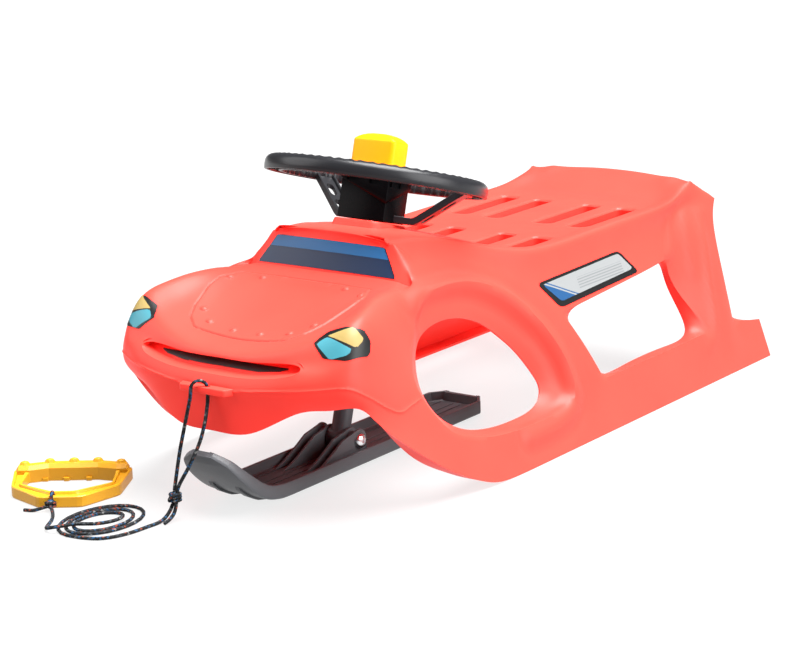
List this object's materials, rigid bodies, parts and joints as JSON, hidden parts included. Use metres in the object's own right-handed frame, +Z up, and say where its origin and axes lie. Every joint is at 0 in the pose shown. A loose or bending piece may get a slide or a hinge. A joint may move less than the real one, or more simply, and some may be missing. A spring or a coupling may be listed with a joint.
{
  "type": "steerable snow sled",
  "caption": "Child's sled: car-shaped moulded shell on two runners, a steered front ski under a column with wheel and squeeze horn, and a tow rope with a finger-grip handle.",
  "frame": {"origin": "centre of the sled's bounding box on the snow, without the rope and its handle", "axes": "nose to -Y, +X to the driver's left, +Z up"},
  "size_m": [0.5161, 1.1072, 0.3956],
  "materials": {
    "shell_red": "satin moulded polyethylene",
    "dark_plastic": "satin",
    "bush_white": "satin",
    "bright_steel": "zinc plated",
    "horn_yellow": "gloss",
    "horn_rubber": "matt",
    "cord": "braided",
    "handle_amber": "satin",
    "screen_print": "printed film",
    "grille_print": "printed film",
    "lamp_print": "printed film",
    "label_print": "printed film"
  },
  "bodies": {
    "sled": {"shell": "shell_red", "column_bush_upper": "bush_white", "column_bush_lower": "bush_white", "windscreen_decal": "screen_print", "grille_decal": "grille_print", "headlamp_decal_left": "lamp_print", "headlamp_decal_right": "lamp_print", "side_label_left": "label_print", "side_label_right": "label_print", "rope_bridle": "cord", "rope_knot": "cord", "tow_rope": "cord", "handle_knot": "cord", "tow_handle": "handle_amber"},
    "steering": {"steering_column": "dark_plastic", "retaining_ring": "dark_plastic", "retaining_pin": "bright_steel", "steering_wheel": "dark_plastic", "wheel_washer": "bright_steel", "wheel_bolt": "bright_steel", "horn_bulb": "horn_rubber", "pivot_bolt": "bright_steel", "pivot_nut": "bright_steel", "pivot_washer_left": "bright_steel", "pivot_washer_right": "bright_steel"},
    "horn": {"horn_button": "horn_yellow"},
    "ski": {"ski": "dark_plastic"}
  },
  "joints": [
    {"name": "steer", "type": "hinge", "parent": "sled", "child": "steering", "pos_m": [0, -0.132, 0.342], "axis": [0, 0.284, 0.9588], "range_deg": [-30, 30]},
    {"name": "ski_pitch", "type": "hinge", "parent": "steering", "child": "ski", "pos_m": [0, -0.22442, 0.03], "axis": [1, 0, 0], "range_deg": [-2, 8]},
    {"name": "horn_press", "type": "slide", "parent": "steering", "child": "horn", "axis": [0, -0.284, -0.9588], "range_m": [0, 0.004], "stiffness_N_per_m": 1500, "springref_m": -0.0005}
  ]
}
